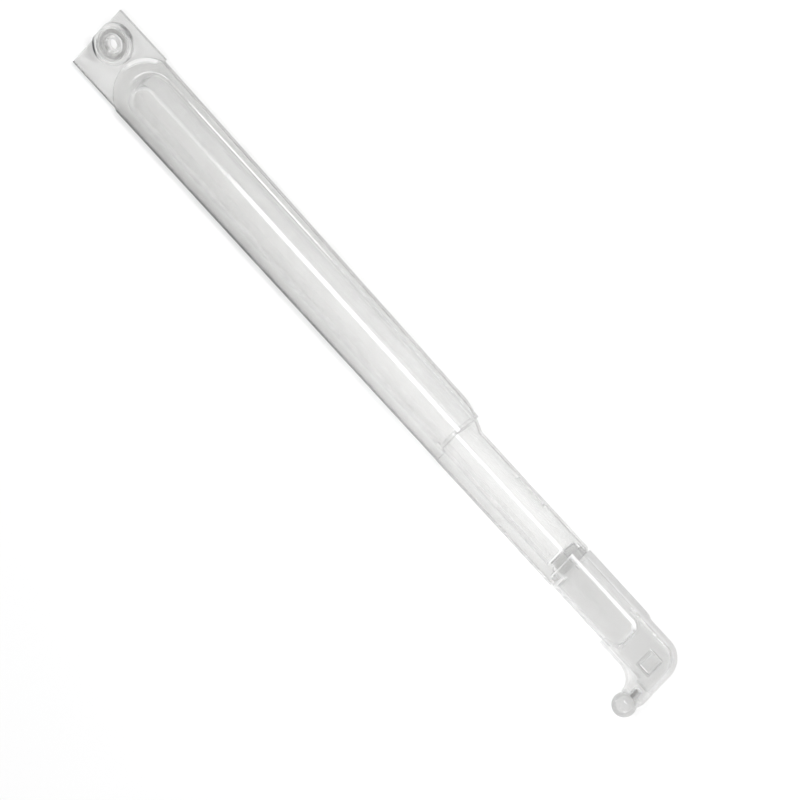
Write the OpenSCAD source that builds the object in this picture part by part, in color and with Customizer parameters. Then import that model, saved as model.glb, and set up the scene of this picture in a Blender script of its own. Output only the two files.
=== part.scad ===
// Clear moulded arm: a flat head with a pivot eye, two stepped hollow covers
// on one back plate, and a hollow tail that turns into a lug with a ball.
// Origin: axis of the pivot eye on the flat back. +X runs to the tail, +Z out of the front.

/* [Back plate] */
// Thickness of the back plate
plate_t = 1.5; // [1.2:0.1:2.2]
// Distance of the straight left edge from the pivot axis
left_edge = 16; // [14:0.5:19]
// Right edge of the head, from the pivot axis
head_right = 9.6; // [9:0.1:12]
// End of the head, from the pivot axis
head_end = 6.5; // [6.4:0.1:12]

/* [Pivot eye] */
// Outer radius of the raised boss round the eye
boss_r = 7.4; // [7:0.1:7.6]
// Height of the boss above the back
boss_h = 3.9; // [3.6:0.1:5.5]
// Radius of the pocket that the bush flange sits in
pocket_r = 5.9; // [5.6:0.1:6.1]
// Radius of the bush barrel
barrel_r = 3.2; // [2.8:0.1:3.6]
// Radius of the screw hole through the bush
screw_r = 2.15; // [1.6:0.05:2.3]
// Thickness of the web that the bush is held against
web_t = 1.2; // [0.9:0.1:1.5]
// Running clearance of the barrel in the eye
run_gap = 0.05; // [0.03:0.01:0.1]
// Radius of the raised collar on the bush
collar_r = 3.65; // [3.4:0.05:4.2]
// Height of the collar above the boss
collar_h = 0.8; // [0.4:0.1:1.5]
// Depth of the pocket below the top of the boss
pocket_depth = 1.5; // [1.2:0.1:1.8]
// Clearance of the bush flange and of the ring in their pockets
bush_gap = 0.3; // [0.2:0.05:0.4]
// How far the bush flange lies below the top of the boss
bush_sunk = 0.3; // [0:0.1:0.6]
// Thickness of the retaining ring
ring_t = 0.8; // [0.6:0.1:0.9]

/* [Covers] */
// Wall of the covers
wall = 1.5; // [1:0.1:1.8]
// Thickness of the flange round the covers
flange_t = 1.2; // [1:0.1:2]
// Front face of the upper cover above its flange
upper_h = 8.3; // [7.6:0.1:11]
// Front face of the lower cover above its flange
lower_h = 6.3; // [5.6:0.1:7.4]
// Joint between the upper and the lower cover, from the pivot axis
joint_x = 177; // [140:1:230]
// Length of the raised body of the lower cover
lower_len = 53; // [44:0.5:70]
// Length of the lower flange past the raised body, where it laps the root of the tail
lap_len = 4.8; // [3.6:0.2:6]
// Right edge of the upper flange at the nose
upper_right = 8.7; // [8.2:0.1:9.6]
// Right edge of the upper flange at the joint
joint_right = 6.3; // [6:0.1:8]
// Right edge of the lower flange
lower_right = 2.3; // [2.1:0.1:3.4]
// Left foot of both covers, from the pivot axis
foot_left = 11.9; // [11.2:0.1:13]
// Right foot of the upper cover at the nose
foot_nose = 6.3; // [5.8:0.1:6.8]
// Right foot of the upper cover at the joint
foot_joint = 5.2; // [4.8:0.1:5.8]
// Right foot of the lower cover
foot_lower = 1.6; // [1.2:0.1:1.8]
// Lean of the side walls, in mm for each mm of height
lean = 0.46; // [0.1:0.02:0.5]
// Radius of the long outer edges
edge_r = 1.6; // [0.8:0.1:2]
// Front of the arched flange at the nose, from the pivot axis
nose_x = 7.8; // [7.7:0.1:12]
// How much the radius of the arched flange exceeds half its width
nose_slack = 1; // [0.4:0.1:6]
// Flat ledge between the front of the flange and the foot of the nose
nose_ledge = 5.6; // [3:0.1:7]
// Length of the shoulder where the flange narrows at the joint
shoulder_len = 9.2; // [6:0.1:12]
// Part of the shoulder that lies past the joint
shoulder_past = 4.2; // [3:0.1:5]

/* [Locating tabs] */
// Middle of the right tab, from the joint
tab_right_at = 30.4; // [20:0.2:36]
// Middle of the left tab, from the joint
tab_left_at = 32; // [20:0.2:36]
// Length of the right tab
tab_right_len = 12.8; // [8:0.2:14]
// Length of the left tab
tab_left_len = 3; // [2:0.2:6]
// Depth of a tab into the flange
tab_depth = 0.7; // [0.5:0.1:0.8]
// Height of a tab above the flange
tab_proud = 0.3; // [0:0.1:0.6]
// Clearance round a tab and round the spigots
seat_gap = 0.12; // [0.08:0.01:0.2]

/* [Tail] */
// Length of the hollow tail up to the elbow
tail_len = 36.3; // [30:0.1:50]
// Front face of the tail above the back
tail_h = 7.7; // [7:0.1:9]
// Right edge of the tail
tail_right = 2.2; // [1.8:0.1:3]
// Lean of the tail walls, in mm for each mm of height
tail_lean = 0.42; // [0.1:0.02:0.46]
// Wall of the tail
tail_wall = 1.5; // [1:0.1:1.8]
// Radius of the corners at the end of the hollow tail
tail_corner = 5.5; // [3:0.5:6.5]
// Groove between the body of the lower cover and the tail, where the spigot shows
neck_gap = 2.2; // [1.6:0.2:3]
// Length of the spigot inside the lower cover
spigot_len = 6; // [4:0.5:9]
// Wall of the spigot
spigot_wall = 1.1; // [0.8:0.1:1.3]
// Height of the elbow
elbow_h = 5.4; // [4.8:0.1:6.4]
// Outer radius of the elbow
elbow_r = 9; // [5:0.5:9]
// Right edge of the elbow
elbow_right = 1.4; // [1:0.1:1.8]
// Length of the elbow past the hollow tail
elbow_len = 15.3; // [13.5:0.1:18]
// Width of the lug
lug_w = 8; // [7:0.1:8.6]
// Radius in the inner corner of the lug
lug_fillet = 7; // [3:0.5:8]
// Distance of the ball from the pivot axis, across the arm
ball_y = 24.9; // [24.1:0.2:34]
// Radius of the ball
ball_r = 4.3; // [4:0.05:5]
// Radius of the ball pin
ball_pin_r = 1.5; // [1.2:0.1:1.8]
// Length of the ball pin inside the lug
ball_pin_len = 4; // [3:0.5:5]
// How far the ball is let into the end of the lug
ball_seat = 1.2; // [0.8:0.1:1.6]

/* [Elbow plug] */
// Length of the plug along the arm
plug_x = 6.2; // [5:0.1:7]
// Width of the plug across the arm
plug_y = 8; // [6:0.1:8.4]
// Height of the plug above the elbow
plug_proud = 0.7; // [0.4:0.1:1.5]
// Width of the head of the plug round its shank
plug_lip = 0.7; // [0.5:0.1:1]
// Middle of the plug, from the outer face of the elbow
plug_in_x = 7.3; // [6.5:0.1:8]
// Middle of the plug, from the right edge of the elbow
plug_in_y = 8.6; // [7.5:0.1:9.5]

/* [Hidden] */

eps = 0.01;                                  // overlap that makes a clean cut
slab = 0.02;                                 // thickness of one layer of a lofted shell
arc_fn = 96;                                 // round cuts and pins
loft_step = 30;                              // step of the rounded edge in a loft, degrees
nose_steps = 14;                             // straight steps round half a nose
corner_steps = 5;                            // straight steps round a corner
shoulder_steps = 6;                          // straight steps along the shoulder
shoulder_power = 1.5;                        // the shoulder starts along the edge and ends steep
edge_in = 0.8;                               // share of the edge radius that a loft steps in
far = 2 * left_edge;                         // reaches past every edge of the arm

flange_z = plate_t;                          // underside of the flanges
flange_top = plate_t + flange_t;
upper_top = flange_top + upper_h;
lower_top = flange_top + lower_h;
body_end = joint_x + lower_len;              // end of the raised body of the lower cover
lower_end = body_end + lap_len;              // end of the flange and of the back plate
tail_x = body_end + neck_gap;
tail_end = tail_x + tail_len;

chamfer = 1.2;                               // cut corners at the end of the flange
body_corner = 0.6;                           // corner radius of the lower cover body
lip_in = wall - 0.7;                         // the lip lies this far inside the outer face
nose_r = (left_edge + upper_right) / 2 + nose_slack;
nose_side = nose_r - sqrt(nose_r * nose_r - pow((left_edge + upper_right) / 2, 2));
plate_start = nose_x + nose_side;            // the arch meets the sides and the head ends here
taper_start = plate_start + 1;               // the flange narrows from here to the joint

bush_flange_r = pocket_r - bush_gap;
ring_r = pocket_r - 0.7;
ring_pocket_r = ring_r + bush_gap;
web_top = boss_h - pocket_depth;
web_bottom = web_top - web_t;
flat_gap = 0.05;                             // axial play of the bush
ring_z = web_bottom - flat_gap - ring_t;

elbow_lap = 9;                               // the elbow block begins this far inside the tail
elbow_start = tail_end - elbow_lap;
elbow_x = tail_end + elbow_len;              // outer face of the elbow
lug_x = elbow_x - lug_w / 2;                 // middle of the lug
lug_left = lug_x - lug_w / 2;
plug_cx = elbow_x - plug_in_x;
plug_cy = elbow_right - plug_in_y;
lug_end_y = ball_r - ball_y - ball_seat;     // end face of the lug
ball_z = ball_r;                             // the ball touches the plane of the back
ball_pin_z = elbow_h / 2 + 0.3;              // the pin keeps clear of the underside of the lug

// Outline of the upper cover moved in by d: round nose, straight sides and end
function upper_outline(d, end_in) =
    let (r = (foot_left + foot_nose) / 2,
         cy = (foot_nose - foot_left) / 2,
         cx = nose_x + nose_ledge + r,
         x1 = joint_x - end_in)
    concat([[x1, foot_joint - d]],
           [for (i = [0 : 2 * nose_steps]) let (a = 90 + 90 * i / nose_steps)
               [cx + (r - d) * cos(a), cy + (r - d) * sin(a)]],
           [[x1, -foot_left + d]]);

// Rectangle with rounded corners of radius r at its far end
function end_outline(x0, x1, y0, y1, r, steps = corner_steps) =
    concat([[x0, y0]],
           [for (i = [0 : steps]) let (a = -90 + 90 * i / steps) [x1 - r + r * cos(a), y0 + r + r * sin(a)]],
           [for (i = [0 : steps]) let (a = 90 * i / steps) [x1 - r + r * cos(a), y1 - r + r * sin(a)]],
           [[x0, y1]]);

module layer(z, points) {
    translate([0, 0, z]) linear_extrude(slab) polygon(points);
}

// Upper cover body: lofted walls that lean in, with rounded long edges.
// skin is how far the surface lies inside the outer one
module upper_loft(skin, z0) {
    top = upper_top - skin;
    r = max(edge_r - skin / 2, 0.4);
    hull() {
        layer(z0, upper_outline(skin, skin));
        for (a = [0 : loft_step : 90]) let (z = top - r + r * sin(a))
            layer(z - slab, upper_outline(skin + lean * (z - flange_top) + r * (1 - cos(a)) * edge_in,
                                          skin + r * (1 - cos(a)) * edge_in));
    }
}

// Lower cover body, from x0 to x1
module lower_loft(skin, x0, x1, z0, round_end = true) {
    top = lower_top - skin;
    r = max(edge_r - skin / 2, 0.4);
    hull() {
        layer(z0, end_outline(x0, x1, -foot_left + skin, foot_lower - skin, body_corner));
        for (a = [0 : loft_step : 90])
            let (z = top - r + r * sin(a),
                 d = skin + lean * (z - flange_top) + r * (1 - cos(a)) * edge_in)
            layer(z - slab, end_outline(x0, x1 - (round_end ? r * (1 - cos(a)) : 0),
                                        -foot_left + d, foot_lower - d, body_corner));
    }
}

// Tail body, from x0 to x1
module tail_loft(skin, x0, x1, z0, start_r) {
    top = tail_h - skin;
    r = max(edge_r - skin / 2, 0.4);
    hull() {
        layer(z0, end_outline(x0, x1, -left_edge + skin, tail_right - skin, tail_corner));
        for (a = [0 : loft_step : 90])
            let (z = top - r + r * sin(a),
                 d = skin + tail_lean * z * edge_in + r * (1 - cos(a)) * edge_in)
            layer(z - slab, end_outline(x0 + start_r * (1 - cos(a)), x1 - d,
                                        -left_edge + d, tail_right - d, tail_corner));
    }
}

// Flat outline of the back plate and of the flanges from x0 to the end of the lower cover
module side_band(x0) {
    step = joint_right - lower_right;
    shoulder_end = joint_x + shoulder_past;
    polygon(concat(
        [[x0, -left_edge], [lower_end - chamfer, -left_edge], [lower_end, -left_edge + chamfer],
         [lower_end, lower_right - chamfer / 2], [lower_end - chamfer / 2, lower_right]],
        [for (i = [shoulder_steps : -1 : 0]) let (u = i / shoulder_steps)
            [shoulder_end - shoulder_len * (1 - u), joint_right - step * pow(u, shoulder_power)]],
        [[taper_start, upper_right], [x0, upper_right]]));
}

// Outline of the flanges: the band behind the arched nose
module flange_band() {
    intersection() {
        side_band(0);
        union() {
            translate([nose_x + nose_r, (upper_right - left_edge) / 2]) circle(nose_r, $fn = arc_fn);
            translate([taper_start, -far]) square([lower_end, 2 * far]);
        }
    }
}

// A tab whose middle is at x; grow opens it up to the slot that it sits in
module tab_shape(x, len, at_left, grow) {
    y_out = at_left ? -left_edge : lower_right;
    dir = at_left ? 1 : -1;
    translate([joint_x + x - len / 2 - grow, min(y_out, y_out + dir * (tab_depth + grow)), 0])
        cube([len + 2 * grow, tab_depth + grow, flange_top + tab_proud]);
}

module tabs(grow) {
    tab_shape(tab_right_at, tab_right_len, false, grow);
    tab_shape(tab_left_at, tab_left_len, true, grow);
}

module back_plate() {
    color([0.93, 0.95, 0.97, 0.55]) difference() {
        union() {
            linear_extrude(plate_t) union() {
                translate([-head_end, -left_edge]) square([head_end + plate_start, left_edge + head_right]);
                side_band(0);
            }
            intersection() {
                cylinder(r = boss_r, h = boss_h, $fn = arc_fn);
                translate([-head_end, -boss_r, 0]) cube([head_end + boss_r, 2 * boss_r, boss_h]);
            }
            intersection() {
                tabs(0);
                linear_extrude(boss_h + flange_top) side_band(0);
            }
        }
        translate([0, 0, web_top]) cylinder(r = pocket_r, h = boss_h, $fn = arc_fn);
        translate([0, 0, -eps]) cylinder(r = barrel_r + run_gap, h = boss_h, $fn = arc_fn);
        translate([0, 0, -eps]) cylinder(r = ring_pocket_r, h = web_bottom + eps, $fn = arc_fn);
    }
}

module upper_cover() {
    color([0.93, 0.95, 0.97, 0.55]) difference() {
        union() {
            translate([0, 0, flange_z]) linear_extrude(flange_t) intersection() {
                flange_band();
                translate([0, -far]) square([joint_x, 2 * far]);
            }
            upper_loft(0, flange_z);
        }
        upper_loft(wall, flange_z - slab);
        // mouth for the lip of the lower cover
        intersection() {
            lower_loft(lip_in, joint_x - wall - 1, joint_x + 1, flange_z - slab, false);
            translate([joint_x - wall - 1, -far, 0]) cube([wall + 2, 2 * far, upper_top]);
        }
    }
}

module lower_cover() {
    lip = lip_in + seat_gap;
    color([0.93, 0.95, 0.97, 0.55]) difference() {
        union() {
            translate([0, 0, flange_z]) linear_extrude(flange_t) intersection() {
                flange_band();
                translate([joint_x, -far]) square([lower_end - joint_x, 2 * far]);
            }
            lower_loft(0, joint_x, body_end, flange_z);
            lower_loft(lip, joint_x - wall, joint_x + 2 * wall, flange_z, false);
        }
        lower_loft(wall, joint_x - 2 * wall, body_end + 1, flange_z - slab, false);
        // slot that the root of the tail lies in
        translate([body_end, -foot_left, 0]) cube([lap_len + 1, foot_left + foot_lower, lower_top]);
        tabs(seat_gap);
    }
}

// Plan of the elbow, moved in by d
module elbow_plan(d) {
    corner_x = elbow_x - elbow_r;
    corner_y = elbow_right - elbow_r;
    intersection() {
        translate([corner_x, corner_y]) circle(elbow_r - d, $fn = arc_fn);
        translate([corner_x, corner_y]) square(elbow_r);
    }
    translate([elbow_start, -left_edge + d]) {
        square([corner_x - elbow_start, left_edge + elbow_right - 2 * d]);
        square([elbow_x - d - elbow_start, left_edge + corner_y - d]);
    }
}

// Plan of the lug with its inner corner fillet
module lug_plan() {
    translate([lug_left, lug_end_y]) square([lug_w, -lug_end_y - left_edge + 1]);
    difference() {
        translate([lug_left - lug_fillet, -left_edge - lug_fillet]) square([lug_fillet + 1, lug_fillet + 1]);
        translate([lug_left - lug_fillet, -left_edge - lug_fillet]) circle(lug_fillet, $fn = arc_fn);
    }
}

// Everything that the tail leaves free before the end of the back plate, for its root
module root_cuts() {
    past = lower_end + seat_gap - tail_x + 1;
    translate([tail_x - 1, -far, -1]) cube([lower_end - tail_x + 1, 2 * far, flange_z + 1]);
    translate([tail_x - 1, -foot_left + seat_gap - far, -1]) cube([past, far, tail_h + 2]);
    translate([tail_x - 1, foot_lower - seat_gap, -1]) cube([past, far, tail_h + 2]);
}

module tail_tube() {
    spigot = wall + seat_gap;
    spigot_z = flange_z + seat_gap;
    color([0.93, 0.95, 0.97, 0.55]) difference() {
        union() {
            difference() {
                tail_loft(0, tail_x, tail_end, 0, edge_r);
                root_cuts();
            }
            linear_extrude(elbow_h) elbow_plan(0);
            linear_extrude(elbow_h) lug_plan();
            lower_loft(spigot, body_end - spigot_len, tail_x + 2, spigot_z, false);
        }
        tail_loft(tail_wall, lower_end + tail_wall, tail_end, tail_wall, 0);
        lower_loft(spigot + spigot_wall, body_end - spigot_len - 1, lower_end + 2 * tail_wall,
                   spigot_z + spigot_wall, false);
        translate([0, 0, tail_wall]) linear_extrude(elbow_h - 2 * tail_wall) elbow_plan(tail_wall);
        translate([0, 0, elbow_h / 2]) linear_extrude(elbow_h) plug_plan(plug_lip - seat_gap);
        translate([lug_x, lug_end_y + ball_pin_len, ball_pin_z]) rotate([90, 0, 0])
            cylinder(r = ball_pin_r, h = 2 * ball_pin_len, $fn = arc_fn);
        translate([lug_x, -ball_y, ball_z]) sphere(ball_r + seat_gap, $fn = arc_fn);
    }
}

// Plan of the plug, moved in by d
module plug_plan(d) {
    translate([plug_cx, plug_cy]) square([plug_x - 2 * d, plug_y - 2 * d], center = true);
}

module elbow_plug() {
    color([0.88, 0.9, 0.93, 0.6]) {
        translate([0, 0, elbow_h]) linear_extrude(plug_proud) plug_plan(0);
        translate([0, 0, elbow_h - tail_wall]) linear_extrude(tail_wall + plug_proud / 2) plug_plan(plug_lip);
    }
}

module ball_end() {
    color([0.88, 0.9, 0.93, 0.6]) {
        translate([lug_x, -ball_y, ball_z]) sphere(ball_r, $fn = arc_fn);
        translate([lug_x, lug_end_y + ball_pin_len, ball_pin_z]) rotate([90, 0, 0])
            cylinder(r = ball_pin_r, h = ball_pin_len + ball_r / 2, $fn = arc_fn);
    }
}

module pivot_bush() {
    color([0.88, 0.9, 0.93, 0.6]) difference() {
        union() {
            cylinder(r = barrel_r, h = boss_h, $fn = arc_fn);
            translate([0, 0, web_top + flat_gap])
                cylinder(r = bush_flange_r, h = boss_h - web_top - flat_gap - bush_sunk, $fn = arc_fn);
            translate([0, 0, web_top + flat_gap])
                cylinder(r = collar_r, h = boss_h - web_top - flat_gap + collar_h, $fn = arc_fn);
        }
        translate([0, 0, -1]) cylinder(r = screw_r, h = boss_h + collar_h + 2, $fn = arc_fn);
    }
}

module bush_ring() {
    color([0.88, 0.9, 0.93, 0.6]) translate([0, 0, ring_z]) difference() {
        cylinder(r = ring_r, h = ring_t, $fn = arc_fn);
        translate([0, 0, -1]) cylinder(r = barrel_r, h = ring_t + 2, $fn = arc_fn);
    }
}

back_plate();
upper_cover();
lower_cover();
tail_tube();
elbow_plug();
ball_end();
pivot_bush();
bush_ring();
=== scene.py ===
from math import cos, pi, radians, sin, sqrt

import bmesh
import bpy
from mathutils import Matrix, Vector


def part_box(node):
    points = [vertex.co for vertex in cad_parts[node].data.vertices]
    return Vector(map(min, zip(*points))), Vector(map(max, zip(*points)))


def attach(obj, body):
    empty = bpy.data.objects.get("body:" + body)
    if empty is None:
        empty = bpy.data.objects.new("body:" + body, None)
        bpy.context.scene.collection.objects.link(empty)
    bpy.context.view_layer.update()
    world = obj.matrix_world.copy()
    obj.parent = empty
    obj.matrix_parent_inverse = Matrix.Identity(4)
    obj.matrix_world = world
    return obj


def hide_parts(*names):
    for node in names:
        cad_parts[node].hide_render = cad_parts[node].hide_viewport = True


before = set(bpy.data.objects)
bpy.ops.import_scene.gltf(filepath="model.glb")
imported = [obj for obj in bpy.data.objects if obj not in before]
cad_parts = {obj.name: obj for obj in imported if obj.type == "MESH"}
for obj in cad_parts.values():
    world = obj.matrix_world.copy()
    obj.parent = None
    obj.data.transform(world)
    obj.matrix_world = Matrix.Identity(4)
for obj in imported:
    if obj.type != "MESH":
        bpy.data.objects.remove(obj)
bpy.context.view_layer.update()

scene = bpy.context.scene
MM = 0.001


# ---------------------------------------------------------------- camera
# A long lens high over the arm leans towards the tail and towards the
# stepped edge, and rolls so that the arm runs down the picture to the right.
LEAN_ACROSS = radians(25)
LEAN_ALONG = radians(9.3)
SLOPE = radians(47.47)
FIELD = 0.2667
STAND_OFF = 5.0
AIM = Vector((0.15395, -0.01075, 0.0027))

to_camera = Vector((sin(LEAN_ALONG), cos(LEAN_ALONG) * sin(LEAN_ACROSS), cos(LEAN_ALONG) * cos(LEAN_ACROSS)))
along = (Vector((1, 0, 0)) - to_camera * to_camera.x).normalized()
across = to_camera.cross(along)
right = along * cos(SLOPE) + across * sin(SLOPE)
up = across * cos(SLOPE) - along * sin(SLOPE)

camera_data = bpy.data.cameras.new("camera")
camera_data.lens = camera_data.sensor_width * STAND_OFF / FIELD
camera_data.clip_start = 0.1
camera_data.clip_end = 20
camera = bpy.data.objects.new("camera", camera_data)
scene.collection.objects.link(camera)
camera.matrix_world = Matrix.Translation(AIM + to_camera * STAND_OFF) @ Matrix(
    [(right.x, up.x, to_camera.x, 0), (right.y, up.y, to_camera.y, 0),
     (right.z, up.z, to_camera.z, 0), (0, 0, 0, 1)])
scene.camera = camera


# ---------------------------------------------------------------- upper cover
# The long raised cover is a thin clear moulding: a flange with an arched
# front, and a hollow body with leaning sides. It lies on the back plate.
upper_low, upper_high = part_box("upper_cover")
plate_low, plate_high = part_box("back_plate")
AIR = 0.06 * MM                      # film of air between two mouldings that touch
WALL = 1.5 * MM
PLATE_T = 1.5 * MM
FLANGE_T = 1.2 * MM
LEAN = 0.46                          # side walls lean in by this for each unit of height
FOOT_LEFT = -11.9 * MM
FOOT_NOSE = 6.3 * MM
FOOT_JOINT = 5.2 * MM
NOSE_LEDGE = 5.6 * MM
LEFT = upper_low.y
FLANGE_TOP = PLATE_T + FLANGE_T
JOINT = upper_high.x
JOINT_RIGHT = 6.3 * MM
LOWER_RIGHT = 2.3 * MM
SHOULDER = (JOINT - 5 * MM, JOINT + 4.2 * MM)
SHOULDER_ROUND = 3.4 * MM
ARC = 64                             # steps in a half circle
FOOT_TURN = (22, 44, 65)             # steps of the hollow foot curve, in degrees up to the side's slope
FOOT_REACH = 0.637                   # how far that curve runs out, as a part of its radius
BOSS_RADIUS = 7.4 * MM
ARCH_RADIUS = (upper_high.y - upper_low.y) / 2 + 1 * MM
ARCH_X = upper_low.x + ARCH_RADIUS
ARCH_Y = (upper_high.y + upper_low.y) / 2
ARCH_SIDE = ARCH_X - sqrt(ARCH_RADIUS ** 2 - (upper_high.y - ARCH_Y) ** 2)
HAZE = 0.008
RIPPLE = 0.03
BENDING = 1.49                       # refractive index of the plastic


class Value:
    """A number over a surface; each operator adds its Math node, and node() adds any other kind."""

    def __init__(self, tree, socket):
        self.tree = tree
        self.socket = socket

    def node(self, kind, settings=None, **inputs):
        made = self.tree.nodes.new(kind)
        for key, setting in (settings or {}).items():
            if key == "stops":
                ramp = made.color_ramp.elements
                while len(ramp) < len(setting):
                    ramp.new(0.5)
                for stop, (place, colour) in zip(ramp, setting):
                    stop.position = place
                    stop.color = colour
            else:
                setattr(made, key, setting)
        for key, given in inputs.items():
            socket = made.inputs[int(key[1:])] if key[0] == "i" and key[1:].isdigit() else \
                made.inputs[key.replace("_", " ")]
            if isinstance(given, Value):
                self.tree.links.new(given.socket, socket)
            else:
                socket.default_value = given
        return made

    def out(self, made, name=0):
        return Value(self.tree, made.outputs[name])

    def maths(self, operation, first, second=0.0):
        return self.out(self.node("ShaderNodeMath", {"operation": operation}, i0=first, i1=second))

    def __add__(self, other):
        return self.maths("ADD", self, other)

    def __sub__(self, other):
        return self.maths("SUBTRACT", self, other)

    def __rsub__(self, other):
        return self.maths("SUBTRACT", other, self)

    def __mul__(self, other):
        return self.maths("MULTIPLY", self, other)

    def __pow__(self, other):
        return self.maths("POWER", self, other)

    __radd__ = __add__
    __rmul__ = __mul__

    def clamped(self):
        return self.maths("MINIMUM", self.maths("MAXIMUM", self, 0.0), 1.0)

    def rises(self, start, slope):
        """0 below a start, then up to 1 with the slope."""
        return ((self - start) * slope).clamped()

    def falls(self, end, slope):
        """1 down to 0 with the slope, and 0 beyond the end."""
        return ((end - self) * slope).clamped()


def painted_edge_highlights(place, facing):
    """Painted highlights: how strongly the rounded edges are painted white and frosted to stand for
    highlights, on the rims, the neck, the nose and the feet.
    """
    x, y, z = place
    facing_x, facing_y, facing_z = facing
    # Painted highlights only on the edges that face where the lamps' highlights fall.
    rounded = facing_z.rises(0.58, 9.0) * facing_z.falls(0.97, 30.0)
    upper_rims = z.rises(5.4 * MM, 4000.0)
    feet = z.falls(4.2 * MM, 4000.0)
    to_right = (facing_y * 2.0).clamped()
    right_rim = x.rises(55 * MM, 40.0) * to_right
    neck = x.rises(200 * MM, 200.0) * x.falls(245 * MM, 400.0) * (facing_x * facing_x * 2.5).clamped()
    to_nose = facing_x.falls(-0.4, 8.0) * facing_y.rises(-0.05, 8.0) + facing_y.rises(0.5, 10.0)
    nose = x.rises(7.6 * MM, 2000.0) * x.falls(23 * MM, 500.0) * to_nose
    right_foot = x.rises(30 * MM, 100.0) * x.falls(110 * MM, 40.0) * to_right
    eye_rings = x.falls(7.6 * MM, 2000.0) * 0.5
    share = upper_rims * (right_rim + neck) + feet * (nose + right_foot + eye_rings) + 0.12
    return rounded * share.clamped()


def arch_painted_highlight(place):
    """The painted highlight on the rim of the upper cover's arched front, on the right of the arm's middle.
    """
    x, y, z = place
    from_centre = ((x - ARCH_X) * (x - ARCH_X) + (y - ARCH_Y) * (y - ARCH_Y)) ** 0.5
    band = from_centre.rises(ARCH_RADIUS - 2.1 * MM, 900.0) \
        * from_centre.falls(ARCH_RADIUS + 0.1 * MM, 9000.0)
    top_face = z.rises(2.6 * MM, 9000.0) * z.falls(2.85 * MM, 9000.0)
    return band * y.rises(-5 * MM, 250.0) * x.falls(16 * MM, 900.0) * top_face


def left_edge_painted_shade(place):
    """The left edge, painted dark and matt as shade, which clears towards the tail."""
    x, y, z = place
    return y.falls(plate_low.y + 0.1 * MM, 40000.0) * x.falls(plate_high.x, 7.0)


def boss_wall_painted_shade(place):
    """The wall of the boss, painted black as shade towards the head's corner and grey as shade on the right.
    """
    x, y, z = place
    radius = (x * x + y * y) ** 0.5
    wall = radius.rises(BOSS_RADIUS - 0.9 * MM, 12000.0) * radius.falls(BOSS_RADIUS + 0.3 * MM, 40000.0) \
        * z.rises(1.8 * MM, 4000.0)
    painted_black_shade = (x * -0.57 - y * 0.82).rises(6.2 * MM, 2500.0)
    painted_grey_shade = (y + x * 0.1).rises(6.4 * MM, 1500.0) * 0.5
    return wall * (painted_black_shade + painted_grey_shade)
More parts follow.
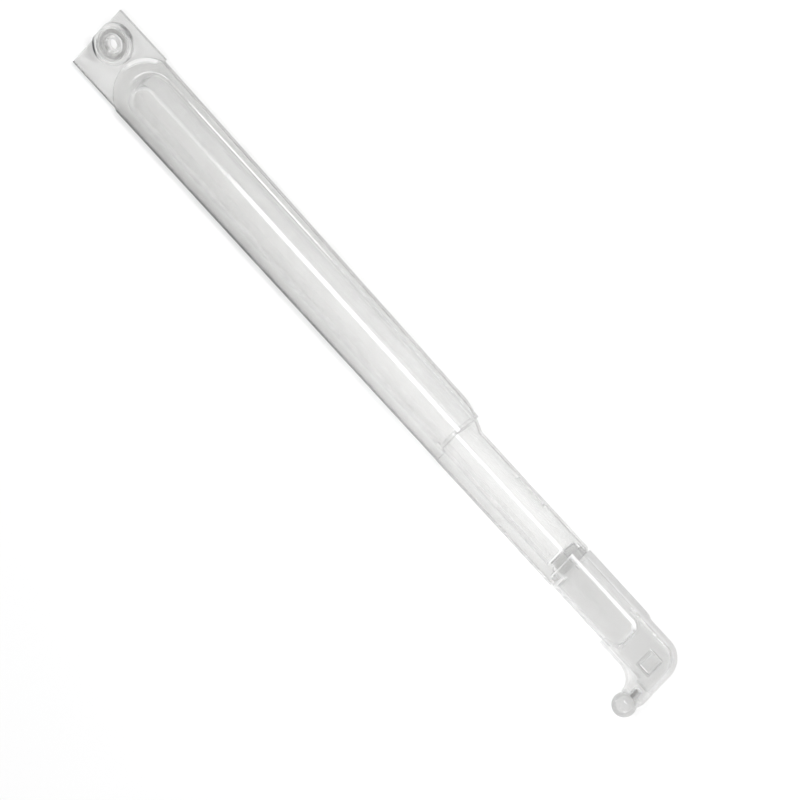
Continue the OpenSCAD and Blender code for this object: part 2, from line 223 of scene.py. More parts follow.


# Clear moulding plastic: polished, with a faint ripple, fine streaks along the
# arm and a light haze, and a tint that runs from near, at the head, to far, at
# the tail, and back towards near on the lug. The share straight of the light goes
# through unbent. The last three say how strongly the painted white highlights on
# the edges, the painted dark shade on the left edge and the painted shade on the
# boss's wall show.
def clear_plastic(name, near, far, straight, edge_highlight_strength, left_shade_strength=0.0, boss_shade_strength=0.0):
    material = bpy.data.materials.new(name)
    material.use_nodes = True
    tree = material.node_tree
    tree.nodes.clear()
    start = Value(tree, None)
    coordinates = start.node("ShaderNodeTexCoord")
    at = start.out(coordinates, "Object")
    axes = start.node("ShaderNodeSeparateXYZ", i0=at)
    place = [start.out(axes, index) for index in range(3)]
    axes = start.node("ShaderNodeSeparateXYZ", i0=start.out(coordinates, "Normal"))
    facing = [start.out(axes, index) for index in range(3)]
    stretched = start.out(start.node("ShaderNodeMapping", i0=at, i3=(9.0, 130.0, 130.0)))
    streaks = start.out(start.node("ShaderNodeTexNoise", i0=stretched, Scale=1.0, Detail=2.0))
    patches = start.out(start.node("ShaderNodeTexNoise", i0=at, Scale=70.0, Detail=3.0))
    waves = start.out(start.node("ShaderNodeTexNoise", i0=at, Scale=95.0, Detail=1.0))
    lamp_ray = start.out(start.node("ShaderNodeLightPath"), "Is Shadow Ray")

    rough = 0.02 + HAZE * (patches - 0.45).clamped() + 0.5 * HAZE * streaks
    bump = start.node("ShaderNodeBump", Strength=RIPPLE, Distance=0.4 * MM,
                      Height=waves * 0.6 + streaks * 0.4)
    lug = place[1].falls(-16.5 * MM, 400.0)
    # Mix factor: the near tint at the head, the far tint along the arm, back towards near on the lug, with
    # patchy variation.
    near_to_far_tint = place[0].rises(20 * MM, 6.0) + (patches - 0.5) * 0.1 - lug
    shade = start.node("ShaderNodeMix", {"data_type": "RGBA"}, i0=near_to_far_tint,
                       i6=(near, near, near * 0.992, 1.0), i7=(far, far, far * 0.995, 1.0))
    plastic = start.node("ShaderNodeBsdfPrincipled", Roughness=rough)
    tree.links.new(shade.outputs[2], plastic.inputs["Base Color"])
    tree.links.new(bump.outputs[0], plastic.inputs["Normal"])
    plastic.inputs["IOR"].default_value = BENDING
    plastic.inputs["Transmission Weight"].default_value = 1.0
    through = sqrt((near + 2 * far) / 3)
    clear = start.node("ShaderNodeBsdfTransparent", i0=(through, through, through, 1.0))

    # Painted highlights: a white frosted layer on the rounded edges and the arch's rim stands in for the
    # lamps' highlights.
    painted_highlight_bsdf = start.node("ShaderNodeBsdfPrincipled", Roughness=0.3 + 0.2 * patches)
    painted_highlight_colour = start.node("ShaderNodeMix", {"data_type": "RGBA"}, i0=streaks,
                       i6=(0.97, 0.97, 0.97, 1.0), i7=(0.88, 0.88, 0.88, 1.0))
    tree.links.new(painted_highlight_colour.outputs[2], painted_highlight_bsdf.inputs["Base Color"])
    painted_highlight_share = (painted_edge_highlights(place, facing) * edge_highlight_strength + arch_painted_highlight(place) * 0.6).clamped()

    # Painted shade: a dark matt layer on the left edge and on the boss's wall stands in for the dark lines
    # that light through the plastic leaves there.
    painted_shade_bsdf = start.node("ShaderNodeBsdfPrincipled", Roughness=0.45 + 0.2 * patches)
    painted_black_shade = start.node("ShaderNodeMix", {"data_type": "RGBA"}, i0=patches,
                      i6=(0.03, 0.032, 0.036, 1.0), i7=(0.09, 0.09, 0.095, 1.0))
    tree.links.new(painted_black_shade.outputs[2], painted_shade_bsdf.inputs["Base Color"])
    painted_shade_share = left_shade_strength * left_edge_painted_shade(place) * (0.6 + patches * 0.6) + boss_shade_strength * boss_wall_painted_shade(place)

    below = plastic
    for share, above in ((lamp_ray * (1.0 - straight) + straight, clear),
                         (painted_highlight_share * (1.0 - lamp_ray * 0.7), painted_highlight_bsdf),
                         (painted_shade_share.clamped(), painted_shade_bsdf)):
        layer = start.node("ShaderNodeMixShader", i0=share)
        tree.links.new(below.outputs[0], layer.inputs[1])
        tree.links.new(above.outputs[0], layer.inputs[2])
        below = layer
    end = tree.nodes.new("ShaderNodeOutputMaterial")
    tree.links.new(below.outputs[0], end.inputs["Surface"])
    return material


shell_clear = clear_plastic("clear_shell_plastic", 0.885, 0.92, 0.42, 0.75, left_shade_strength=0.8)


def pick(kind, where):
    """Select the parts of the mesh in edit mode that a test on their middle and themselves passes."""
    mesh = bmesh.from_edit_mesh(bpy.context.edit_object.data)
    bpy.ops.mesh.select_mode(type=kind)
    bpy.ops.mesh.select_all(action="DESELECT")
    for item in {"VERT": mesh.verts, "EDGE": mesh.edges, "FACE": mesh.faces}[kind]:
        if kind == "VERT":
            middle = item.co
        elif kind == "EDGE":
            middle = (item.verts[0].co + item.verts[1].co) / 2
        else:
            middle = item.calc_center_median()
        item.select_set(bool(where(middle, item)))
    mesh.select_flush_mode()
    bmesh.update_edit_mesh(bpy.context.edit_object.data)


def begin(name, add, scale=(1, 1, 1), **settings):
    """Add a primitive on its own, named, with its place and scale applied, and go to edit mode."""
    if bpy.context.object and bpy.context.object.mode == "EDIT":
        bpy.ops.object.mode_set(mode="OBJECT")
    bpy.ops.object.select_all(action="DESELECT")
    add(**settings)
    made = bpy.context.object
    made.name = name
    made.scale = scale
    bpy.ops.object.transform_apply(location=True, rotation=True, scale=True)
    bpy.ops.object.mode_set(mode="EDIT")
    return made


def done():
    bpy.ops.mesh.select_all(action="SELECT")
    bpy.ops.mesh.remove_doubles(threshold=0.000002)
    bpy.ops.mesh.normals_make_consistent(inside=False)
    bpy.ops.object.mode_set(mode="OBJECT")


def shear_off(point, normal):
    """Cut away all that lies beyond a plane, and leave the cut open."""
    bpy.ops.mesh.select_all(action="SELECT")
    bpy.ops.mesh.bisect(plane_co=point, plane_no=normal, clear_outer=True, threshold=0.0000005)


def one_face():
    bpy.ops.mesh.select_all(action="SELECT")
    bpy.ops.mesh.dissolve_faces()


def close_open_edge():
    bpy.ops.mesh.select_mode(type="EDGE")
    bpy.ops.mesh.select_all(action="DESELECT")
    bpy.ops.mesh.select_non_manifold(extend=False)
    bpy.ops.mesh.edge_face_add()


def raise_to(height):
    """Lift the single flat face of a plan to a height, with a floor under its walls."""
    pick("FACE", lambda middle, face: True)
    bpy.ops.mesh.extrude_region_move(TRANSFORM_OT_translate={"value": (0, 0, height)})
    close_open_edge()


def combine(piece, tool, operation):
    """Unite with, or cut by, another solid, which is used up."""
    bpy.ops.object.select_all(action="DESELECT")
    bpy.context.view_layer.objects.active = piece
    piece.select_set(True)
    change = piece.modifiers.new("combine", "BOOLEAN")
    change.operation = operation
    change.solver = "EXACT"
    change.object = tool
    bpy.ops.object.modifier_apply(modifier=change.name)
    bpy.data.objects.remove(tool)
    return piece


def round_edges(piece, radius, where, segments=4, sharp=20, clamp=True):
    """Bevel the sharp edges that a test picks, with a round profile."""
    bpy.ops.object.select_all(action="DESELECT")
    bpy.context.view_layer.objects.active = piece
    piece.select_set(True)
    bpy.ops.object.mode_set(mode="EDIT")
    pick("EDGE", lambda middle, edge: len(edge.link_faces) == 2
         and edge.calc_face_angle(0) > radians(sharp) and where(middle, edge))
    bpy.ops.mesh.bevel(offset=radius, segments=segments, affect="EDGES", clamp_overlap=clamp)
    bpy.ops.object.mode_set(mode="OBJECT")


def flat(edge, height, slack=0.02 * MM):
    return all(abs(vert.co.z - height) < slack for vert in edge.verts)


def finish_piece(piece, body, replaced, material):
    bpy.ops.object.select_all(action="DESELECT")
    bpy.context.view_layer.objects.active = piece
    piece.select_set(True)
    bpy.ops.object.mode_set(mode="EDIT")
    bpy.ops.mesh.select_mode(type="VERT")
    bpy.ops.mesh.select_all(action="SELECT")
    bpy.ops.mesh.remove_doubles(threshold=0.000003)
    bpy.ops.mesh.dissolve_degenerate(threshold=0.000003)
    bpy.ops.object.mode_set(mode="OBJECT")
    bpy.ops.object.shade_smooth_by_angle(angle=radians(32))
    piece.data.materials.clear()
    piece.data.materials.append(material)
    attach(piece, body)
    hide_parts(replaced)
    return piece


def bullet(name, skin, z_from, top, x_end, foot=0.0):
    """Solid body of the upper cover with its surface moved in by skin: round nose, leaning sides.

    With a foot radius, a hollow curve joins the sides to the flange."""
    flare = foot * FOOT_REACH
    radius = (FOOT_NOSE - FOOT_LEFT) / 2 - skin + flare
    centre = Vector((upper_low.x + NOSE_LEDGE + radius + skin - flare, (FOOT_NOSE + FOOT_LEFT) / 2, z_from))
    piece = begin(name, bpy.ops.mesh.primitive_circle_add, vertices=ARC, radius=radius,
                  fill_type="NGON", location=centre)
    shear_off(centre, (1, 0, 0))
    pick("EDGE", lambda middle, edge: all(abs(vert.co.x - centre.x) < 0.001 * MM for vert in edge.verts))
    bpy.ops.mesh.extrude_edges_move(TRANSFORM_OT_translate={"value": (x_end - centre.x, 0, 0)})
    pick("VERT", lambda middle, vert: middle.x > x_end - 0.01 * MM and middle.y > centre.y)
    bpy.ops.transform.translate(value=(0, FOOT_JOINT - FOOT_NOSE, 0))
    one_face()
    if foot:
        bpy.ops.mesh.extrude_region_move(TRANSFORM_OT_translate={"value": (0, 0, FLANGE_TOP - z_from)})
        at = (flare, 0.0)
        for turn in FOOT_TURN:
            step = (flare - foot * sin(radians(turn)), foot * (1 - cos(radians(turn))))
            bpy.ops.mesh.inset(thickness=at[0] - step[0], depth=step[1] - at[1], use_even_offset=True)
            at = step
        height = top - FLANGE_TOP - at[1]
        bpy.ops.mesh.inset(thickness=LEAN * height, depth=height, use_even_offset=True)
    else:
        height = top - z_from
        bpy.ops.mesh.inset(thickness=LEAN * (top - FLANGE_TOP), depth=height, use_even_offset=True)
    close_open_edge()
    done()
    return piece


def upper_band(name, z_from, thickness):
    """Flange of the upper cover: arched front, straight left edge, and a right edge that runs in."""
    centre = Vector((ARCH_X, ARCH_Y, z_from))
    piece = begin(name, bpy.ops.mesh.primitive_circle_add, vertices=2 * ARC, radius=ARCH_RADIUS,
                  fill_type="NGON", location=centre)
    shear_off(centre, (1, 0, 0))
    pick("EDGE", lambda middle, edge: all(abs(vert.co.x - centre.x) < 0.001 * MM for vert in edge.verts))
    bpy.ops.mesh.extrude_edges_move(TRANSFORM_OT_translate={"value": (JOINT - centre.x, 0, 0)})
    one_face()
    shear_off((0, LEFT, 0), (0, -1, 0))
    shear_off((0, upper_high.y, 0), (0, 1, 0))
    run = Vector((SHOULDER[0] - ARCH_SIDE, JOINT_RIGHT - upper_high.y, 0))
    shear_off((ARCH_SIDE, upper_high.y, 0), (-run.y, run.x, 0))
    drop = Vector((SHOULDER[1] - SHOULDER[0], LOWER_RIGHT - JOINT_RIGHT, 0))
    shear_off((SHOULDER[0], JOINT_RIGHT, 0), (-drop.y, drop.x, 0))
    one_face()
    pick("VERT", lambda middle, vert: abs(middle.x - SHOULDER[0]) < 0.3 * MM and middle.y > 0)
    bpy.ops.mesh.bevel(offset=SHOULDER_ROUND, segments=6, affect="VERTICES")
    one_face()
    raise_to(thickness)
    done()
    return piece


upper_cover = upper_band("upper_cover_shell", PLATE_T + AIR, FLANGE_T - AIR)
hump = bullet("upper_hump", 0, PLATE_T + 0.3 * MM, upper_high.z, JOINT + 5 * MM, 1.1 * MM)
round_edges(hump, 1.7 * MM, lambda middle, edge: flat(edge, upper_high.z) and middle.x < JOINT, 6)
bpy.ops.object.mode_set(mode="EDIT")
bpy.ops.mesh.select_all(action="SELECT")
bpy.ops.mesh.bisect(plane_co=(JOINT, 0, 0), plane_no=(1, 0, 0), use_fill=True, clear_outer=True)
bpy.ops.mesh.select_all(action="SELECT")
bpy.ops.mesh.bisect(plane_co=(SHOULDER[0], JOINT_RIGHT - 0.1 * MM, 0), use_fill=True, clear_outer=True,
                    plane_no=(JOINT_RIGHT - LOWER_RIGHT, SHOULDER[1] - SHOULDER[0], 0))
done()
round_edges(hump, 1.5 * MM, lambda middle, edge: middle.x > JOINT - 0.01 * MM
            and middle.z > FLANGE_TOP + 2 * MM and edge.calc_length() > 0.02 * MM, 5, 40)
combine(upper_cover, hump, "UNION")
cavity = bullet("upper_cavity", WALL, PLATE_T - 1 * MM, upper_high.z - WALL, JOINT + 5 * MM)
round_edges(cavity, 0.8 * MM, lambda middle, edge: flat(edge, upper_high.z - WALL), 4)
bpy.ops.object.mode_set(mode="EDIT")
bpy.ops.mesh.select_all(action="SELECT")
bpy.ops.mesh.bisect(plane_co=(JOINT - WALL, 0, 0), plane_no=(1, 0, 0), use_fill=True, clear_outer=True)
done()
combine(upper_cover, cavity, "DIFFERENCE")
round_edges(upper_cover, 0.45 * MM, lambda middle, edge: flat(edge, FLANGE_TOP), 3, 40)
finish_piece(upper_cover, "arm", "upper_cover", shell_clear)


# ---------------------------------------------------------------- lower cover
# The second cover is lower and shorter. Its flange has a shoulder at the
# joint, slots for two locating tabs, and two strips that lap the tail's root.
# A thinned lip goes in through the end wall of the upper cover.
lower_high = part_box("lower_cover")[1]
lower_clear = clear_plastic("clear_lower_plastic", 0.905, 0.905, 0.42, 0.65, left_shade_strength=0.8)
BODY_END = lower_high.x - 4.8 * MM
LOWER_END = lower_high.x
LOWER_TOP = lower_high.z
FOOT_LOWER = 1.6 * MM
CHAMFER = 1.2 * MM
TAB_DEPTH = 0.7 * MM
RIGHT_TAB = (JOINT + 24 * MM, JOINT + 36.8 * MM)
LEFT_TAB = (JOINT + 30.5 * MM, JOINT + 33.5 * MM)
LIP_IN = 0.7 * MM
BAY = 1 * MM                         # a cut reaches this far past the skin that it opens


def block(name, low, high):
    """Box between two corners, for cuts and for pieces that are shaped further."""
    low, high = Vector(low), Vector(high)
    piece = begin(name, bpy.ops.mesh.primitive_cube_add, size=1, location=(low + high) / 2, scale=high - low)
    done()
    return piece


def lower_hump(name, skin, z_from, top, x_from, x_to):
    """Solid body of the lower cover with its surface moved in by skin: a box with leaning long sides."""
    middle_y = (FOOT_LEFT + FOOT_LOWER) / 2
    spread = LEAN * (FLANGE_TOP - z_from) - skin
    piece = begin(name, bpy.ops.mesh.primitive_cube_add, size=1,
                  location=((x_from + x_to) / 2, middle_y, (z_from + top) / 2),
                  scale=(x_to - x_from, FOOT_LOWER - FOOT_LEFT + 2 * spread, top - z_from))
    for side in (1, -1):
        pick("VERT", lambda middle, vert: middle.z > top - 0.1 * MM and side * (middle.y - middle_y) > 0)
        bpy.ops.transform.translate(value=(0, -side * LEAN * (top - z_from), 0))
    done()
    return piece


def stretch(x_to, shift):
    """Extrude the far edge of a plan to a new station, and move its right corner sideways."""
    mesh = bmesh.from_edit_mesh(bpy.context.edit_object.data)
    far = max(vert.co.x for vert in mesh.verts)
    pick("EDGE", lambda middle, edge: all(vert.co.x > far - 0.001 * MM for vert in edge.verts))
    bpy.ops.mesh.extrude_edges_move(TRANSFORM_OT_translate={"value": (x_to - far, 0, 0)})
    pick("VERT", lambda middle, vert: middle.x > x_to - 0.001 * MM and middle.y > 0)
    bpy.ops.transform.translate(value=(0, shift, 0))


lower_cover = begin("lower_cover_shell", bpy.ops.mesh.primitive_plane_add, size=1,
                    location=(SHOULDER[0] - 1 * MM, (LEFT + JOINT_RIGHT) / 2, PLATE_T + AIR),
                    scale=(2 * MM, JOINT_RIGHT - LEFT, 1))
stretch(SHOULDER[1], LOWER_RIGHT - JOINT_RIGHT)
stretch(LOWER_END, 0)
one_face()
shear_off((JOINT + AIR, 0, 0), (-1, 0, 0))
for corner_y, normal_y in ((LEFT, -1), (LOWER_RIGHT, 1)):
    shear_off((LOWER_END - CHAMFER, corner_y, 0), (1, normal_y, 0))
one_face()
raise_to(FLANGE_T - AIR)
done()
hump = lower_hump("lower_hump", 0, PLATE_T + 0.3 * MM, LOWER_TOP, JOINT + AIR, BODY_END)
round_edges(hump, 1.5 * MM, lambda middle, edge: middle.x > JOINT + 1 * MM and middle.z > PLATE_T + 1 * MM, 5)
combine(lower_cover, hump, "UNION")
round_edges(lower_cover, 0.9 * MM, lambda middle, edge: flat(edge, FLANGE_TOP)
            and FOOT_LEFT - 0.3 * MM < middle.y < FOOT_LOWER - 0.3 * MM and middle.x > JOINT + 1 * MM
            and middle.x < BODY_END - 0.2 * MM and edge.calc_length() > 2 * MM, 4, 30, False)
lip = lower_hump("joint_lip", LIP_IN + 2 * AIR, PLATE_T + AIR, LOWER_TOP - LIP_IN - 2 * AIR,
                 JOINT - WALL, JOINT + 2 * WALL)
combine(lower_cover, lip, "UNION")
cavity = lower_hump("lower_cavity", WALL, PLATE_T - BAY, LOWER_TOP - WALL, JOINT - 2 * WALL, BODY_END + BAY)
round_edges(cavity, 0.7 * MM, lambda middle, edge: middle.z > LOWER_TOP - WALL - 0.3 * MM
            and edge.calc_length() > 20 * MM, 3)
combine(lower_cover, cavity, "DIFFERENCE")
root_slot = block("root_slot", (BODY_END + 0.3 * MM, FOOT_LEFT, 0), (LOWER_END + BAY, FOOT_LOWER, LOWER_TOP))
round_edges(root_slot, 1.2 * MM, lambda middle, edge: middle.x < BODY_END + 0.4 * MM
            and abs(edge.verts[0].co.z - edge.verts[1].co.z) > 2 * MM, 4)
combine(lower_cover, root_slot, "DIFFERENCE")
for low, high, outer, inner in ((*RIGHT_TAB, LOWER_RIGHT + BAY, LOWER_RIGHT - TAB_DEPTH - 2 * AIR),
                                (*LEFT_TAB, LEFT - BAY, LEFT + TAB_DEPTH + 2 * AIR)):
    tab_slot = block("tab_slot", (low - 2 * AIR, min(outer, inner), 0),
                     (high + 2 * AIR, max(outer, inner), LOWER_TOP))
    combine(lower_cover, tab_slot, "DIFFERENCE")
opening = lower_hump("joint_opening", LIP_IN, PLATE_T - BAY, LOWER_TOP - LIP_IN,
                     JOINT - 2 * WALL, JOINT + BAY)
combine(upper_cover, opening, "DIFFERENCE")
finish_piece(lower_cover, "arm", "lower_cover", lower_clear)


# ---------------------------------------------------------------- tail
# The hollow tail is one moulding: a root that sits under the lower cover's
# tongue, a raised hollow body, the flat elbow, and the lug that turns aside.
tail_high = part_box("tail_tube")[1]
tail_clear = clear_plastic("clear_tail_plastic", 0.70, 0.875, 0.42, 0.65)
TAIL_X = BODY_END + 2.2 * MM
TAIL_END = TAIL_X + 36.3 * MM
TAIL_TOP = tail_high.z
TAIL_RIGHT = 2.2 * MM
TAIL_LEAN = 0.34
TAIL_CORNER = 5.5 * MM
ELBOW_X = tail_high.x
ELBOW_TOP = 5.4 * MM
ELBOW_RIGHT = 1.4 * MM
ELBOW_RADIUS = 9 * MM
LUG_WIDTH = 8 * MM
LUG_FILLET = 7 * MM
ball_low, ball_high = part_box("ball_end")
BALL_RADIUS = (ball_high.x - ball_low.x) / 2
BALL_CENTRE = Vector((ball_low.x + BALL_RADIUS, ball_low.y + BALL_RADIUS, BALL_RADIUS))
LUG_END = BALL_CENTRE.y + BALL_RADIUS - 1.2 * MM


def tail_hump(name, skin, x_from, z_from, top):
    """Solid body of the tail with its surface moved in by skin: leaning sides, and a round far end."""
    inward = skin + TAIL_LEAN * z_from
    low, high, far = LEFT + inward, TAIL_RIGHT - inward, TAIL_END - inward
    piece = begin(name, bpy.ops.mesh.primitive_plane_add, size=1,
                  location=((x_from + far) / 2, (low + high) / 2, z_from),
                  scale=(far - x_from, high - low, 1))
    pick("VERT", lambda middle, vert: middle.x > far - 0.1 * MM)
    bpy.ops.mesh.bevel(offset=TAIL_CORNER - skin / 2, segments=8, affect="VERTICES")
    one_face()
    pick("FACE", lambda middle, face: True)
    run = TAIL_LEAN * (top - z_from)
    bpy.ops.mesh.inset(thickness=run, depth=top - z_from, use_even_offset=True)
    close_open_edge()
    pick("VERT", lambda middle, vert: middle.z > top - 0.01 * MM and middle.x < x_from + 2 * run)
    bpy.ops.transform.translate(value=(-run, 0, 0))
    done()
    return piece


def elbow_block(name, skin, z_from, z_to, reach, fillet):
    """Flat elbow and lug: an L-shaped plan, round outside, with a large radius in the inner corner."""
    start = TAIL_END - 9 * MM
    low, high = LEFT + skin, ELBOW_RIGHT - skin
    lug_left = ELBOW_X - LUG_WIDTH + skin
    piece = begin(name, bpy.ops.mesh.primitive_plane_add, size=1,
                  location=((start + lug_left) / 2, (low + high) / 2, z_from),
                  scale=(lug_left - start, high - low, 1))
    pick("EDGE", lambda middle, edge: all(vert.co.x > lug_left - 0.001 * MM for vert in edge.verts))
    bpy.ops.mesh.extrude_edges_move(TRANSFORM_OT_translate={"value": (ELBOW_X - skin - lug_left, 0, 0)})
    pick("EDGE", lambda middle, edge: all(vert.co.x > lug_left - 0.001 * MM and vert.co.y < low + 0.001 * MM
                                          for vert in edge.verts))
    bpy.ops.mesh.extrude_edges_move(TRANSFORM_OT_translate={"value": (0, reach - low, 0)})
    one_face()
    pick("VERT", lambda middle, vert: middle.x > ELBOW_X - skin - 0.01 * MM and middle.y > high - 0.01 * MM)
    bpy.ops.mesh.bevel(offset=ELBOW_RADIUS - skin, segments=14, affect="VERTICES")
    pick("VERT", lambda middle, vert: abs(middle.x - lug_left) < 0.01 * MM
         and abs(middle.y - low) < 0.01 * MM)
    bpy.ops.mesh.bevel(offset=fillet, segments=12, affect="VERTICES")
    one_face()
    raise_to(z_to - z_from)
    done()
    return piece


tail_tube = tail_hump("tail_shell", 0, TAIL_X, 0, TAIL_TOP)
round_edges(tail_tube, 1.6 * MM, lambda middle, edge: flat(edge, TAIL_TOP), 6)
under_root = block("under_root", (TAIL_X - BAY, LEFT - BAY, -BAY),
                   (LOWER_END + AIR, TAIL_RIGHT + BAY, PLATE_T + AIR))
combine(tail_tube, under_root, "DIFFERENCE")
for low_y, high_y in ((LEFT - BAY, FOOT_LEFT + 2 * AIR), (FOOT_LOWER - 2 * AIR, TAIL_RIGHT + BAY)):
    shoulder = block("shoulder", (TAIL_X - BAY, low_y, -BAY), (LOWER_END + 2 * AIR, high_y, TAIL_TOP + BAY))
    combine(tail_tube, shoulder, "DIFFERENCE")
elbow = elbow_block("elbow", 0, 0, ELBOW_TOP, LUG_END, LUG_FILLET)
round_edges(elbow, 1 * MM, lambda middle, edge: flat(edge, ELBOW_TOP) and middle.x > TAIL_END - 8.9 * MM
            and middle.y > LUG_END + 0.01 * MM, 4)
combine(tail_tube, elbow, "UNION")
spigot = lower_hump("spigot", WALL + 2 * AIR, PLATE_T + 2 * AIR, LOWER_TOP - WALL - 2 * AIR,
                    BODY_END - 0.8 * MM, TAIL_X + 2 * MM)
combine(tail_tube, spigot, "UNION")
round_edges(tail_tube, 0.8 * MM, lambda middle, edge: flat(edge, ELBOW_TOP) and middle.x < TAIL_END + 1 * MM
            and middle.x > TAIL_END - 6 * MM and LEFT + 1.2 * MM < middle.y < 0.2 * MM, 3, 25)
cavity = tail_hump("tail_cavity", WALL, LOWER_END + WALL, WALL, TAIL_TOP - WALL)
round_edges(cavity, 0.6 * MM, lambda middle, edge: flat(edge, TAIL_TOP - WALL), 3)
combine(tail_tube, cavity, "DIFFERENCE")
bore = lower_hump("bore", WALL + 0.9 * MM, PLATE_T + 0.9 * MM, LOWER_TOP - WALL - 0.9 * MM,
                  BODY_END - 1.8 * MM, LOWER_END + 2 * WALL)
combine(tail_tube, bore, "DIFFERENCE")
hollow = elbow_block("hollow", WALL, WALL, ELBOW_TOP - WALL, LEFT + WALL - 1.5 * MM, 1 * MM)
combine(tail_tube, hollow, "DIFFERENCE")
plug_low, plug_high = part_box("elbow_plug")
LIP = 0.7 * MM
plug_hole = block("plug_hole",
                  (plug_low.x + LIP - 2 * AIR, plug_low.y + LIP - 2 * AIR, ELBOW_TOP - WALL - BAY / 2),
                  (plug_high.x - LIP + 2 * AIR, plug_high.y - LIP + 2 * AIR, ELBOW_TOP + BAY))
combine(tail_tube, plug_hole, "DIFFERENCE")
PIN_RADIUS = 1.5 * MM
PIN_LENGTH = 4 * MM
PIN_Z = ELBOW_TOP / 2 + 0.3 * MM
pin_hole = begin("pin_hole", bpy.ops.mesh.primitive_cylinder_add, vertices=32, radius=PIN_RADIUS + AIR,
                 depth=PIN_LENGTH + BAY + AIR, rotation=(pi / 2, 0, 0),
                 location=(BALL_CENTRE.x, LUG_END + (PIN_LENGTH - BAY + AIR) / 2, PIN_Z))
done()
combine(tail_tube, pin_hole, "DIFFERENCE")
ball_hollow = begin("ball_hollow", bpy.ops.mesh.primitive_uv_sphere_add, segments=48, ring_count=24,
                    radius=BALL_RADIUS + 2 * AIR, location=BALL_CENTRE)
done()
combine(tail_tube, ball_hollow, "DIFFERENCE")
finish_piece(tail_tube, "arm", "tail_tube", tail_clear)


# ---------------------------------------------------------------- back plate
# The back plate is the base of the whole arm: the head with the round boss of
# the eye, and the long flat strip under both covers, with two locating tabs.
# The covers and the tail are bonded to it.
plate_clear = clear_plastic("clear_plate_plastic", 0.73, 0.915, 0.32, 0.7, left_shade_strength=0.9, boss_shade_strength=1.0)
BOSS_TOP = 3.9 * MM
HEAD_END = plate_low.x


def turned(name, profile, steps=72):
    """Solid of revolution about Z from (radius, height) points in mm; the last point joins the first."""
    piece = begin(name, bpy.ops.mesh.primitive_plane_add, size=1)
    bpy.ops.mesh.select_mode(type="VERT")
    bpy.ops.mesh.select_all(action="SELECT")
    bpy.ops.mesh.merge(type="CENTER")
    bpy.ops.mesh.select_all(action="SELECT")
    at = Vector((0, 0, 0))
    for index, (radius, height) in enumerate((*profile, profile[0])):
        step = Vector((radius, 0, height)) * MM - at
        if index == 0:
            bpy.ops.transform.translate(value=step)
        else:
            bpy.ops.mesh.extrude_vertices_move(TRANSFORM_OT_translate={"value": step})
        at += step
    bpy.ops.mesh.select_all(action="SELECT")
    bpy.ops.mesh.remove_doubles(threshold=0.000001)
    bpy.ops.mesh.select_all(action="SELECT")
    bpy.ops.mesh.spin(steps=steps, angle=2 * pi, center=(0, 0, 0), axis=(0, 0, 1))
    done()
    return piece


back_plate = block("back_plate_shell", (HEAD_END, LEFT, 0), (ARCH_SIDE + 0.5 * MM, plate_high.y, PLATE_T))
strip = begin("strip", bpy.ops.mesh.primitive_plane_add, size=1,
              location=(ARCH_SIDE, (LEFT + upper_high.y) / 2, 0), scale=(2 * MM, upper_high.y - LEFT, 1))
stretch(SHOULDER[0], JOINT_RIGHT - upper_high.y)
stretch(SHOULDER[1], LOWER_RIGHT - JOINT_RIGHT)
stretch(plate_high.x, 0)
one_face()
for corner_y, normal_y in ((LEFT, -1), (LOWER_RIGHT, 1)):
    shear_off((plate_high.x - CHAMFER, corner_y, 0), (1, normal_y, 0))
one_face()
pick("VERT", lambda middle, vert: abs(middle.x - SHOULDER[0]) < 0.3 * MM and middle.y > 0)
bpy.ops.mesh.bevel(offset=SHOULDER_ROUND, segments=6, affect="VERTICES")
one_face()
raise_to(PLATE_T)
done()
combine(back_plate, strip, "UNION")
round_edges(back_plate, 0.25 * MM, lambda middle, edge: flat(edge, PLATE_T) or flat(edge, 0), 2, 40)
rim, top = BOSS_RADIUS / MM, BOSS_TOP / MM
boss = turned("boss", ((0, 0.2), (rim - 0.2, 0.2), (rim, 0.4), (rim, top - 0.4), (rim - 0.12, top - 0.12),
                       (rim - 0.4, top), (0, top)))
bpy.ops.object.mode_set(mode="EDIT")
bpy.ops.mesh.select_all(action="SELECT")
bpy.ops.mesh.bisect(plane_co=(HEAD_END + 0.02 * MM, 0, 0), plane_no=(-1, 0, 0),
                    use_fill=True, clear_outer=True)
done()
combine(back_plate, boss, "UNION")
RING_ROOM, WEB_HOLE, POCKET = 5.5, 3.25, 5.9       # radii in the eye, mm
WEB_LOW, WEB_HIGH = 1.2, 2.4                       # heights of the web that carries the bush, mm
eye = turned("eye", (
    (0, -1), (RING_ROOM, -1), (RING_ROOM, WEB_LOW), (WEB_HOLE, WEB_LOW), (WEB_HOLE, WEB_HIGH),
    (POCKET, WEB_HIGH), (POCKET, top - 0.25), (POCKET + 0.25, top), (POCKET + 0.25, 5), (0, 5)))
combine(back_plate, eye, "DIFFERENCE")
for low, high, outer, inner in ((*RIGHT_TAB, LOWER_RIGHT - 0.02 * MM, LOWER_RIGHT - TAB_DEPTH),
                                (*LEFT_TAB, LEFT + 0.02 * MM, LEFT + TAB_DEPTH)):
    tab = block("tab", (low, min(outer, inner), PLATE_T - 0.4 * MM),
                (high, max(outer, inner), FLANGE_TOP + 0.3 * MM))
    round_edges(tab, 0.15 * MM, lambda middle, edge: middle.z > FLANGE_TOP, 2)
    combine(back_plate, tab, "UNION")
finish_piece(back_plate, "arm", "back_plate", plate_clear)


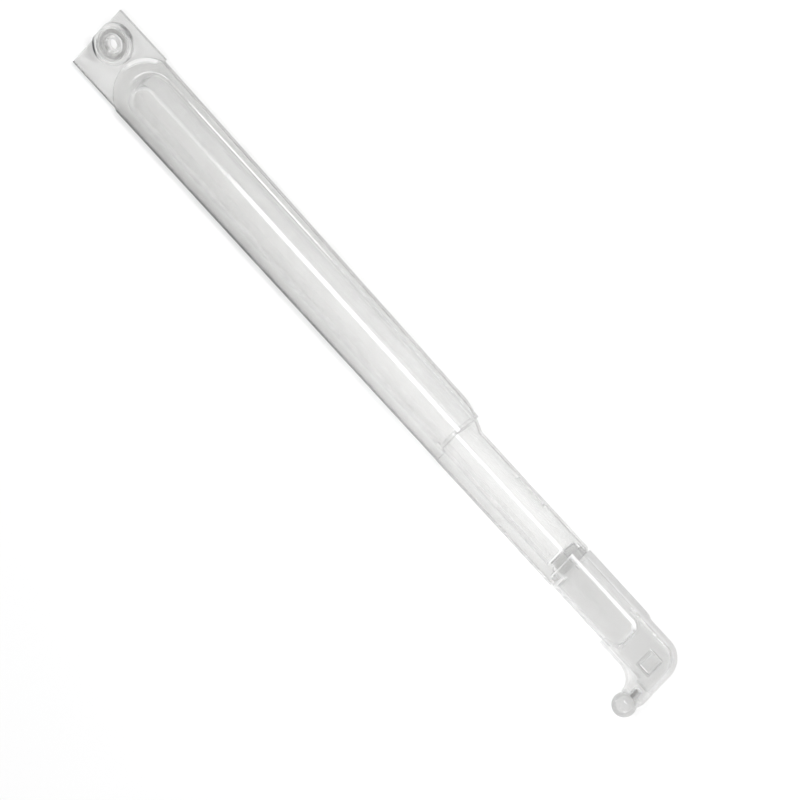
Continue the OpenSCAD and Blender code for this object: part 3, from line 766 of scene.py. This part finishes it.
# ---------------------------------------------------------------- pivot bush
# The bush turns in the eye of the back plate. Its flange lies in the pocket,
# its barrel goes down through the web, and a screw passes through its bore.
insert_clear = clear_plastic("clear_insert_plastic", 0.92, 0.82, 0.5, 0.7)
bush_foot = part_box("pivot_bush")[0].z / MM
BORE, BARREL, COLLAR, RIM = 2.15, 3.2, 3.65, 5.6               # radii, mm
SEAT, FLANGE_HIGH, COLLAR_HIGH = WEB_HIGH + 0.05, 3.6, 4.7     # heights, mm
pivot_bush = turned("pivot_bush_turned", (
    (BORE, bush_foot + 0.2), (BORE + 0.2, bush_foot), (BARREL - 0.15, bush_foot),
    (BARREL, bush_foot + 0.15), (BARREL, SEAT), (RIM - 0.15, SEAT), (RIM, SEAT + 0.15),
    (RIM, FLANGE_HIGH - 0.2), (RIM - 0.2, FLANGE_HIGH), (COLLAR + 0.25, FLANGE_HIGH),
    (COLLAR, FLANGE_HIGH + 0.25), (COLLAR, COLLAR_HIGH - 0.2), (COLLAR - 0.2, COLLAR_HIGH),
    (BORE + 0.45, COLLAR_HIGH), (BORE, COLLAR_HIGH - 0.4)))
finish_piece(pivot_bush, "bush", "pivot_bush", insert_clear)


# ---------------------------------------------------------------- bush ring
# The ring grips the barrel below the web and keeps the bush in the plate.
RING_BORE, RING_RIM = BARREL + AIR / MM, 5.2                   # radii, mm
RING_LOW, RING_HIGH = 0.35, 1.15                               # heights, mm
bush_ring = turned("bush_ring_turned", (
    (RING_BORE, RING_LOW + 0.1), (RING_BORE + 0.1, RING_LOW), (RING_RIM - 0.15, RING_LOW),
    (RING_RIM, RING_LOW + 0.15), (RING_RIM, RING_HIGH - 0.15), (RING_RIM - 0.15, RING_HIGH),
    (RING_BORE, RING_HIGH)))
finish_piece(bush_ring, "bush", "bush_ring", insert_clear)


# ---------------------------------------------------------------- elbow plug
# A square plug closes the opening in the elbow. Its head overlaps the rim, and
# its shank is a push fit in the wall.
elbow_plug = block("elbow_plug_head", (plug_low.x, plug_low.y, ELBOW_TOP + AIR), plug_high)
round_edges(elbow_plug, 0.3 * MM, lambda middle, edge: middle.z > ELBOW_TOP + 0.3 * MM, 3)
bpy.ops.object.mode_set(mode="EDIT")
pick("FACE", lambda middle, face: middle.z > plug_high.z - 0.01 * MM)
bpy.ops.mesh.inset(thickness=0.9 * MM, depth=0)
bpy.ops.mesh.inset(thickness=0.25 * MM, depth=-0.25 * MM)
done()
shank = block("shank", (plug_low.x + LIP, plug_low.y + LIP, ELBOW_TOP - WALL),
              (plug_high.x - LIP, plug_high.y - LIP, ELBOW_TOP + 0.35 * MM))
combine(elbow_plug, shank, "UNION")
finish_piece(elbow_plug, "arm", "elbow_plug", insert_clear)


# ---------------------------------------------------------------- ball end
# The ball stands off the end of the lug on a pin, in a shallow round seat.
ball_clear = clear_plastic("clear_ball_plastic", 0.66, 0.66, 0.3, 0.1)
ball_end = begin("ball_end_turned", bpy.ops.mesh.primitive_uv_sphere_add, segments=64, ring_count=32,
                 radius=BALL_RADIUS, location=BALL_CENTRE)
done()
pin = begin("pin", bpy.ops.mesh.primitive_cylinder_add, vertices=32, radius=PIN_RADIUS,
            depth=PIN_LENGTH + BALL_RADIUS / 2, rotation=(pi / 2, 0, 0),
            location=(BALL_CENTRE.x, LUG_END + (PIN_LENGTH - BALL_RADIUS / 2) / 2, PIN_Z))
done()
round_edges(pin, 0.3 * MM, lambda middle, edge: middle.y > LUG_END + PIN_LENGTH - 0.01 * MM, 2)
combine(ball_end, pin, "UNION")
finish_piece(ball_end, "arm", "ball_end", ball_clear)


# ---------------------------------------------------------------- floor and light
scene.view_settings.view_transform = "Standard"
bpy.ops.object.select_all(action="DESELECT")
bpy.ops.mesh.primitive_plane_add(size=12, location=(0.14, 0, -0.0004))
floor = bpy.context.object
floor.name = "floor"
paper = bpy.data.materials.new("floor_paper")
paper.use_nodes = True
paper.node_tree.nodes["Principled BSDF"].inputs["Base Color"].default_value = (0.86, 0.86, 0.86, 1)
paper.node_tree.nodes["Principled BSDF"].inputs["Roughness"].default_value = 0.7
floor.data.materials.append(paper)

world = bpy.data.worlds.new("studio")
scene.world = world
world.use_nodes = True
sky = Value(world.node_tree, None)
heading = sky.out(sky.node("ShaderNodeTexCoord"), "Generated")
height = sky.out(sky.node("ShaderNodeSeparateXYZ", i0=heading), 2)
tone = sky.out(sky.node("ShaderNodeValToRGB", {"stops": [
    (0.0, (0.2, 0.2, 0.21, 1)), (0.12, (0.25, 0.25, 0.26, 1)), (0.42, (1, 1, 1, 1))]}, i0=height))
world.node_tree.links.new(tone.socket, world.node_tree.nodes["Background"].inputs["Color"])
world.node_tree.nodes["Background"].inputs["Strength"].default_value = 0.96


def lamp(name, place, aim, size_x, size_y, power):
    data = bpy.data.lights.new(name, "AREA")
    data.shape = "RECTANGLE"
    data.size = size_x
    data.size_y = size_y
    data.energy = power
    made = bpy.data.objects.new(name, data)
    scene.collection.objects.link(made)
    made.location = place
    made.rotation_mode = "QUATERNION"
    made.rotation_quaternion = (Vector(aim) - Vector(place)).to_track_quat("-Z", "X")
    return made


lamp("strip_light", (0.24, 0.55, 0.55), (0.24, 0, 0), 0.1, 0.6, 2.5)
lamp("head_light", (-0.72, -0.38, 0.27), (0.03, 0, 0), 0.16, 0.3, 1.2)
lamp("tail_light", (0.98, -0.36, 0.36), (0.23, 0, 0), 0.16, 0.3, 1.2)
